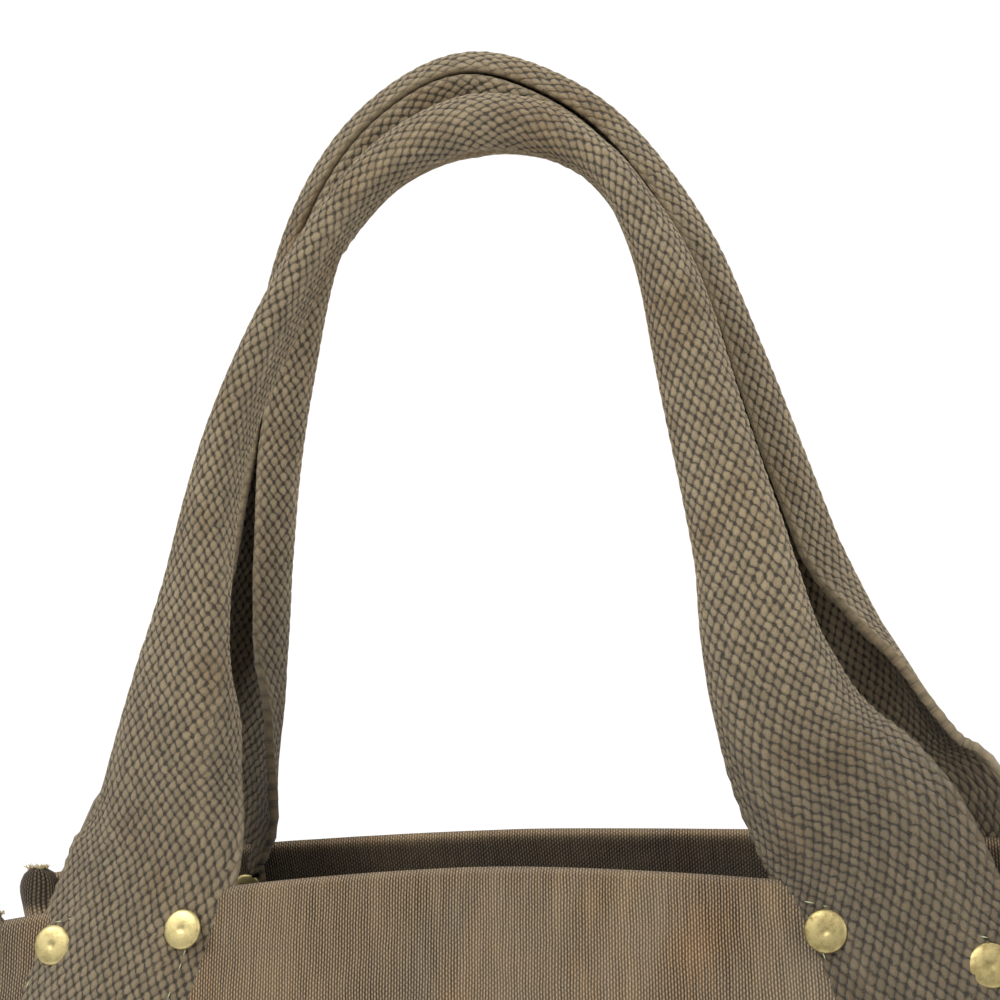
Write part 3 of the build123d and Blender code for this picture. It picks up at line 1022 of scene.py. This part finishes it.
def make_rivets(wall, inner):
    """The brass caps on one face of a wall."""
    side = WALLS[wall]
    profile = INNER_CAP if inner else OUTER_CAP
    random.seed(7 if inner else 3)
    bm = bmesh.new()
    for across, up in rivet_places(wall):
        verts = [bm.verts.new((r * MM, 0, h * MM)) for r, h in profile]
        edges = [bm.edges.new(pair) for pair in zip(verts, verts[1:])]
        spun = bmesh.ops.spin(
            bm, geom=verts + edges, cent=(0, 0, 0), axis=(0, 0, 1), angle=2 * pi, steps=36, use_merge=True
        )
        made = [v for v in bm.verts if not v.tag]
        face = 0.5 * sizes().webbing_thickness
        out = -face - CANVAS - 1.4 * MM if inner else face + 0.4 * MM
        seat = handle_point(wall, across, up, out)
        normal = Vector((0, side * cos(LEAN), sin(LEAN))) * (-1 if inner else 1)
        tip = Matrix.Rotation(radians(random.uniform(-3, 3)), 4, "X") @ Matrix.Rotation(
            radians(random.uniform(-3, 3)), 4, "Y"
        )
        stand = normal.to_track_quat("Z", "Y").to_matrix().to_4x4()
        bmesh.ops.transform(bm, matrix=Matrix.Translation(seat) @ stand @ tip, verts=made)
        for vert in bm.verts:
            vert.tag = True
    bmesh.ops.remove_doubles(bm, verts=bm.verts, dist=0.01 * MM)
    bmesh.ops.recalc_face_normals(bm, faces=bm.faces)
    place = "inside" if inner else "outside"
    piece = join_piece(f"{wall}_rivets_{place}", bm, "brass_rivets")
    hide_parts(f"{wall}_rivet_posts" if inner else f"{wall}_rivet_caps")
    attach(piece, "bag")
    return piece


def sew(bm, start, end, point, keep=1.0, ramble=0.25):
    """Sews a row of stitches from start to end, where point(across, up) gives a place and the way out."""
    run = end - start
    pace = sizes().stitch_length + sizes().stitch_gap
    count = max(1, round(run.length / pace))
    for i in range(count):
        if random.random() > keep:
            continue
        middle = start + run * ((i + 0.5) / count)
        middle = middle + Vector((random.uniform(-1, 1), random.uniform(-1, 1))) * ramble * MM
        reach = run.normalized() * 0.5 * sizes().stitch_length * random.uniform(0.75, 1.1)
        (a, out), (b, _) = point(*(middle - reach)), point(*(middle + reach))
        along = b - a
        stand = along.to_track_quat("X", "Z").to_matrix().to_4x4()
        radius = sizes().thread_radius
        shape = Matrix.Diagonal((0.55 * along.length, radius, radius, 1))
        made = bmesh.ops.create_icosphere(bm, subdivisions=1, radius=1.0)
        seat = (a + b) / 2 + out * radius * 0.35
        bmesh.ops.transform(bm, matrix=Matrix.Translation(seat) @ stand @ shape, verts=made["verts"])


def make_handle_thread(wall):
    """The stitches that hold a handle: a row and a crossed box on each foot."""
    side = WALLS[wall]
    random.seed(21 + side)
    bm = bmesh.new()
    normal = Vector((0, side * cos(LEAN), sin(LEAN)))

    def on_foot(across, up):
        return handle_point(wall, across, up, 0.5 * sizes().webbing_thickness), normal

    def corner(lateral, step, drop):
        middle = FOOT_MIDDLE[wall] + drop * FOOT_SPLAY[wall]
        lower, steeper = ASKEW.get((wall, lateral), (0, 0))
        slope = 2 * (HEM - CORNER) * middle / HALF_WIDTH**2 + steeper
        return Vector((lateral * (middle + step), -drop - lower - slope * step))

    for lateral in (-1, 1):
        wide = 21 * MM
        top_in, top_out = corner(lateral, -wide, 12.5 * MM), corner(lateral, wide, 12.5 * MM)
        low_in, low_out = corner(lateral, -wide, 36.5 * MM), corner(lateral, wide, 36.5 * MM)
        for start, end, keep in (
            (top_in, top_out, 0.85), (low_in, low_out, 0.7), (top_in, low_in, 0.3), (top_out, low_out, 0.3),
            (top_in, low_out, 0.25), (top_out, low_in, 0.25),
        ):
            sew(bm, start, end, on_foot, keep)
    piece = join_piece(f"{wall}_handle_thread", bm, "thread")
    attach(piece, "bag")
    return piece


def make_body_thread(wall):
    """Rows of stitches along the pockets of a wall."""
    side = WALLS[wall]
    random.seed(41 + side)
    bm = bmesh.new()
    out = Vector((0, side, 0))

    def on_tape(across, height):
        return pocket_point(wall, across, height, pocket_bow(wall, across, height) + 0.8 * MM), out

    span, bays = POCKETS[wall][2:]
    pitch = span / bays
    step = 8 * MM
    x = -span / 2
    while x < span / 2 - step / 2:
        for height in (POCKET_TOP - 8.5 * MM,):
            sew(bm, Vector((x, height)), Vector((x + step, height)), on_tape, ramble=0.1)
        x += step
    for i in range(bays + 1):
        line = -span / 2 + i * pitch
        line = min(max(line, -span / 2 + 1.5 * MM), span / 2 - 1.5 * MM)
        sew(bm, Vector((line, POCKET_LOW + 3 * MM)), Vector((line, POCKET_TOP - 10 * MM)), on_tape, ramble=0.1)
    piece = join_piece(f"{wall}_pocket_thread", bm, "thread")
    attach(piece, "bag")
    return piece


def make_frayed_ends():
    """Raw cotton threads that stand out of the corner seams' ends."""
    random.seed(5)
    bm = bmesh.new()
    for wall, y_side in WALLS.items():
        for name, x_side in SIDES.items():
            top = hem_height(wall, HALF_WIDTH) + 1.5 * MM
            for _ in range(60):
                across = random.uniform(-3.2, 3.2) * MM
                through = random.uniform(-1.5, 1.5) * MM
                root = settle(Vector((
                    x_side * (HALF_WIDTH + 2.6 * MM + across), y_side * (wall_depth(top) - 1.2 * MM + through), top
                )))
                tall = random.uniform(0.5, 1.5) * MM
                lean = Vector((random.uniform(-1.6, 1.6), random.uniform(-1.2, 1.2), 1)).normalized()
                shape = Matrix.Diagonal((0.16 * MM, 0.16 * MM, tall, 1))
                made = bmesh.ops.create_icosphere(bm, subdivisions=1, radius=1.0)
                stand = lean.to_track_quat("Z", "Y").to_matrix().to_4x4()
                bmesh.ops.transform(
                    bm, matrix=Matrix.Translation(root + lean * tall * 0.3) @ stand @ shape, verts=made["verts"]
                )
    piece = join_piece("frayed_seam_ends", bm, "raw_cotton")
    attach(piece, "bag")
    return piece


# Operators ---------------------------------------------------------------------------------------
def done(*pieces):
    """Ends an operator, or raises if it made nothing."""
    if not all(pieces):
        raise RuntimeError("a piece of the bag was not made")
    return {"FINISHED"}


class BAG_OT_walls(bpy.types.Operator):
    """Make the front and back walls"""

    bl_idname = "bag.walls"
    bl_label = "Walls"

    def execute(self, context):
        return done(*[make_wall(wall) for wall in WALLS])


class BAG_OT_sides(bpy.types.Operator):
    """Make the two folded side walls"""

    bl_idname = "bag.sides"
    bl_label = "Sides"

    def execute(self, context):
        return done(*[make_gusset(name) for name in SIDES])


class BAG_OT_base(bpy.types.Operator):
    """Make the base, its lining and its edge, and finish the board between them"""

    bl_idname = "bag.base"
    bl_label = "Base"

    def execute(self, context):
        board = frame["nodes"]["base_board"]
        board.data.materials.clear()
        board.data.materials.append(finish_named("stiffener"))
        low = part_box("base_panel")[1][2]
        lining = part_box("base_lining")[1][2]
        return done(
            make_base_sheet("base_canvas", "base_panel", low, 0.0, "canvas"),
            make_base_sheet("base_inner_lining", "base_lining", lining, 2.2 * MM, "lining"),
            make_base_binding(),
        )


class BAG_OT_corner_seams(bpy.types.Operator):
    """Make the four bound corner seams and their frayed ends"""

    bl_idname = "bag.corner_seams"
    bl_label = "Corner Seams"

    def execute(self, context):
        return done(*[make_corner_seam(wall, name) for wall in WALLS for name in SIDES], make_frayed_ends())


class BAG_OT_pockets(bpy.types.Operator):
    """Make the tool pockets and the tape on their edges"""

    bl_idname = "bag.pockets"
    bl_label = "Pockets"

    def execute(self, context):
        return done(*[make(name) for name in POCKETS for make in (make_pocket, make_pocket_tape)])


class BAG_OT_handles(bpy.types.Operator):
    """Make the two webbing handles"""

    bl_idname = "bag.handles"
    bl_label = "Handles"

    def execute(self, context):
        return done(*[make_handle(wall) for wall in WALLS])


class BAG_OT_rivets(bpy.types.Operator):
    """Make the brass rivets"""

    bl_idname = "bag.rivets"
    bl_label = "Rivets"

    def execute(self, context):
        return done(*[make_rivets(wall, inner) for wall in WALLS for inner in (False, True)])


class BAG_OT_stitches(bpy.types.Operator):
    """Sew the handles and the pockets"""

    bl_idname = "bag.stitches"
    bl_label = "Stitches"

    def execute(self, context):
        return done(*[make(wall) for wall in WALLS for make in (make_handle_thread, make_body_thread)])


def light_box(world):
    """White behind and over the bag, and dimmer in front, as in a small studio."""
    tree = world.node_tree
    around = tree.nodes.new("ShaderNodeTexCoord")
    split = tree.nodes.new("ShaderNodeSeparateXYZ")
    dim = tree.nodes.new("ShaderNodeMapRange")
    tree.links.new(around.outputs["Generated"], split.inputs[0])
    tree.links.new(split.outputs[1], dim.inputs["Value"])
    tree.links.new(dim.outputs[0], tree.nodes["Background"].inputs["Strength"])
    for socket, value in (("From Min", -0.5), ("From Max", 0.35), ("To Min", 0.56), ("To Max", 1.05)):
        dim.inputs[socket].default_value = value
    tree.nodes["Background"].inputs["Color"].default_value = (1, 1, 1, 1)


class BAG_OT_stage(bpy.types.Operator):
    """Set the floor, the lights and the camera"""

    bl_idname = "bag.stage"
    bl_label = "Stage"

    def execute(self, context):
        bm = bmesh.new()
        bmesh.ops.create_circle(bm, cap_ends=True, segments=96, radius=0.62)
        mesh = bpy.data.meshes.new("floor")
        bm.to_mesh(mesh)
        bm.free()
        floor = bpy.data.objects.new("floor", mesh)
        plain = Finish("plain_floor", Roughness=0.9)
        place = plain.add("ShaderNodeTexCoord", None, (), output=3)
        plain.feed(Base_Color=plain.mix(plain.noise(place, 3.0) * 0.02, colours().floor, (0.85, 0.85, 0.85)))
        mesh.materials.append(plain.material)
        context.scene.collection.objects.link(floor)

        world = bpy.data.worlds.new("studio")
        world.use_nodes = True
        light_box(world)
        context.scene.world = world
        context.scene.view_settings.view_transform = "Standard"

        for name, place, aim, size, power in (
            ("key", (-0.7, -1.3, 1.5), (0, 0, 0.3), 0.9, 23),
            ("fill", (1.4, -0.9, 0.9), (0, 0, 0.3), 1.2, 9),
            ("top", (0.1, 0.5, 1.9), (0, 0, 0.3), 1.0, 10),
        ):
            light = bpy.data.lights.new(name, "AREA")
            light.size = size
            light.energy = power
            lamp = bpy.data.objects.new(name, light)
            context.scene.collection.objects.link(lamp)
            away = Vector(place) - Vector(aim)
            lamp.matrix_world = Matrix.Translation(place) @ away.to_track_quat("Z", "Y").to_matrix().to_4x4()

        azimuth, elevation, roll, distance = radians(14.089), radians(-2.315), radians(-3.372), 0.446
        target = Vector((0.0013, 0, 0.3504))
        back = Vector((sin(azimuth) * cos(elevation), -cos(azimuth) * cos(elevation), sin(elevation)))
        level = Vector((0, 0, 1)).cross(back).normalized()
        up = back.cross(level)
        right = level * cos(roll) + up * sin(roll)
        turned = back.cross(right)
        lens = bpy.data.cameras.new("camera")
        lens.sensor_width = 36
        lens.lens = 1.709 * 36
        lens.clip_start = 0.01
        camera = bpy.data.objects.new("camera", lens)
        context.scene.collection.objects.link(camera)
        camera.matrix_world = Matrix.Translation(target + back * distance) @ Matrix(
            (right, turned, back)
        ).transposed().to_4x4()
        context.scene.camera = camera
        return done(floor, camera)


class BAG_PT_panel(bpy.types.Panel):
    """Lists the bag's pieces and their sizes and colours"""

    bl_idname = "BAG_PT_panel"
    bl_label = "Tool Bag"
    bl_space_type = "VIEW_3D"
    bl_region_type = "UI"
    bl_category = "Tool Bag"

    def draw(self, context):
        for operator in OPERATORS:
            self.layout.operator(operator.bl_idname)
        for group in (context.scene.bag_sizes, context.scene.bag_colours):
            box = self.layout.box()
            for name in group.__annotations__:
                box.prop(group, name)


OPERATORS = (
    BAG_OT_stage, BAG_OT_walls, BAG_OT_sides, BAG_OT_base, BAG_OT_corner_seams,
    BAG_OT_pockets, BAG_OT_handles, BAG_OT_rivets, BAG_OT_stitches,
)
CLASSES = (BagClothSizes, BagColours, *OPERATORS, BAG_PT_panel)


def register():
    for cls in CLASSES:
        bpy.utils.register_class(cls)
    bpy.types.Scene.bag_sizes = bpy.props.PointerProperty(type=BagClothSizes)
    bpy.types.Scene.bag_colours = bpy.props.PointerProperty(type=BagColours)


def unregister():
    del bpy.types.Scene.bag_colours
    del bpy.types.Scene.bag_sizes
    for cls in reversed(CLASSES):
        bpy.utils.unregister_class(cls)


def main():
    """Builds the whole bag."""
    register()
    for operator in OPERATORS:
        getattr(bpy.ops.bag, operator.bl_idname.split(".")[1])()


if __name__ == "__main__":
    main()
